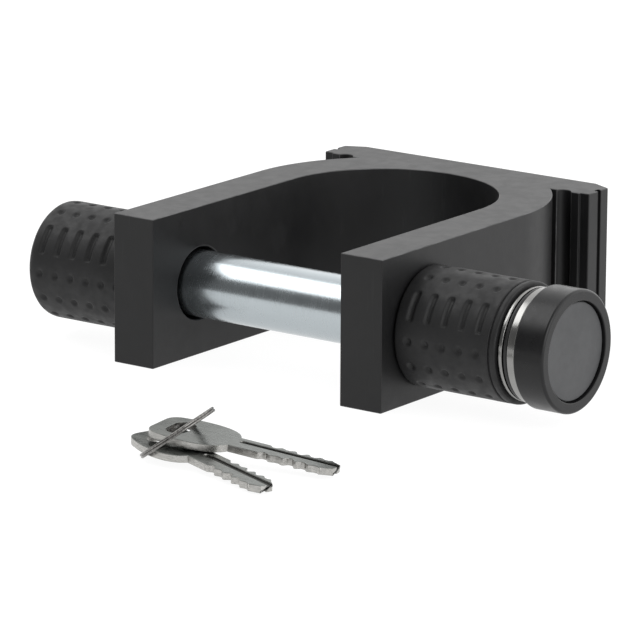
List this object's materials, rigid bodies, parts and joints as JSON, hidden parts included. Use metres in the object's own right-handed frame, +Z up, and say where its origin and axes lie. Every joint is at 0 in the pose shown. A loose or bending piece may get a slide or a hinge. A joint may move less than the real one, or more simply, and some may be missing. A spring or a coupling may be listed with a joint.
{
  "type": "u-shaped pin lock",
  "caption": "Black U-shaped lock body with a round steel pin through its arms, rubber-gripped ends, a key lock under a dust cap, and keys on a split ring.",
  "frame": {"origin": "centre of the bottom face of the plate that closes the back of the U, midway between the arms", "axes": "+X along the pin towards the keyed end, +Y from the open mouth to the closed back, +Z up as it lies on a table"},
  "size_m": [0.1483, 0.1657, 0.036],
  "materials": {
    "black_coat": "fine matte black coating",
    "zinc": "bright zinc-plated steel, turned",
    "nickel": "bright nickel-plated steel",
    "key_nickel": "nickel-plated, lightly worn",
    "hard_steel": "ground steel",
    "brass": "machined",
    "grip_rubber": "matte black moulded rubber",
    "seal_rubber": "smooth black rubber",
    "cap_plastic": "satin black moulded cap"
  },
  "bodies": {
    "body": {"u_body": "black_coat"},
    "pin": {"lock_pin": "zinc", "pin_head_sleeve": "grip_rubber"},
    "lock_head": {"lock_housing": "nickel", "lock_head_sleeve": "grip_rubber", "pin_seal": "seal_rubber", "housing_o_ring": "seal_rubber", "ball_cage": "hard_steel", "cylinder_shell": "brass", "shell_pin": "hard_steel"},
    "lock_plug": {"cylinder_plug": "brass", "plug_clip": "hard_steel", "drive_cam": "hard_steel"},
    "upper_ball": {"locking_ball_1": "hard_steel"},
    "lower_ball": {"locking_ball_2": "hard_steel"},
    "wafer_a": {"wafer_1": "brass"},
    "wafer_b": {"wafer_2": "brass"},
    "wafer_c": {"wafer_3": "brass"},
    "wafer_d": {"wafer_4": "brass"},
    "wafer_e": {"wafer_5": "brass"},
    "wafer_f": {"wafer_6": "brass"},
    "cap": {"dust_cap": "cap_plastic", "cap_disc": "cap_plastic"},
    "keyring": {"key_ring": "key_nickel"},
    "first_key": {"key_1": "key_nickel"},
    "second_key": {"key_2": "key_nickel"}
  },
  "joints": [
    {"name": "pin_slide", "type": "slide", "parent": "body", "child": "pin", "axis": [-1, 0, 0], "range_m": [0, 0.1]},
    {"name": "lock_head_slide", "type": "slide", "parent": "body", "child": "lock_head", "axis": [1, 0, 0], "range_m": [0, 0.045]},
    {"name": "cap_slide", "type": "slide", "parent": "lock_head", "child": "cap", "axis": [1, 0, 0], "range_m": [0, 0.02]},
    {"name": "plug_turn", "type": "hinge", "parent": "lock_head", "child": "lock_plug", "pos_m": [0.06, -0.07135, 0.0173], "axis": [1, 0, 0], "range_deg": [0, 90]},
    {"name": "upper_ball_slide", "type": "slide", "parent": "lock_head", "child": "upper_ball", "axis": [0, 0, -1], "range_m": [0, 0.0013]},
    {"name": "lower_ball_slide", "type": "slide", "parent": "lock_head", "child": "lower_ball", "axis": [0, 0, 1], "range_m": [0, 0.0013]},
    {"name": "wafer_a_slide", "type": "slide", "parent": "lock_plug", "child": "wafer_a", "axis": [0, 0, 1], "range_m": [0, 0.0008]},
    {"name": "wafer_b_slide", "type": "slide", "parent": "lock_plug", "child": "wafer_b", "axis": [0, 0, 1], "range_m": [0, 0.0008]},
    {"name": "wafer_c_slide", "type": "slide", "parent": "lock_plug", "child": "wafer_c", "axis": [0, 0, 1], "range_m": [0, 0.0008]},
    {"name": "wafer_d_slide", "type": "slide", "parent": "lock_plug", "child": "wafer_d", "axis": [0, 0, 1], "range_m": [0, 0.0008]},
    {"name": "wafer_e_slide", "type": "slide", "parent": "lock_plug", "child": "wafer_e", "axis": [0, 0, 1], "range_m": [0, 0.0008]},
    {"name": "wafer_f_slide", "type": "slide", "parent": "lock_plug", "child": "wafer_f", "axis": [0, 0, 1], "range_m": [0, 0.0008]},
    {"name": "keys_lift", "type": "slide", "parent": "body", "child": "keyring", "axis": [0, 0, 1], "range_m": [0, 0.06]},
    {"name": "key_1_swing", "type": "hinge", "parent": "keyring", "child": "first_key", "pos_m": [0.02289, -0.14379, 0.00532], "axis": [0, 0, 1], "range_deg": [0, 12]},
    {"name": "key_2_swing", "type": "hinge", "parent": "keyring", "child": "second_key", "pos_m": [0.01976, -0.14548, 0.00302], "axis": [0, 0, 1], "range_deg": [-4, 0]}
  ],
  "couplings": [
    {"joint": "upper_ball_slide", "follows": "plug_turn", "m_per_rad": 0.000827},
    {"joint": "lower_ball_slide", "follows": "plug_turn", "m_per_rad": 0.000827},
    {"joint": "wafer_b_slide", "follows": "wafer_a_slide", "ratio": 1},
    {"joint": "wafer_c_slide", "follows": "wafer_a_slide", "ratio": 1},
    {"joint": "wafer_d_slide", "follows": "wafer_a_slide", "ratio": 1},
    {"joint": "wafer_e_slide", "follows": "wafer_a_slide", "ratio": 1},
    {"joint": "wafer_f_slide", "follows": "wafer_a_slide", "ratio": 1}
  ]
}
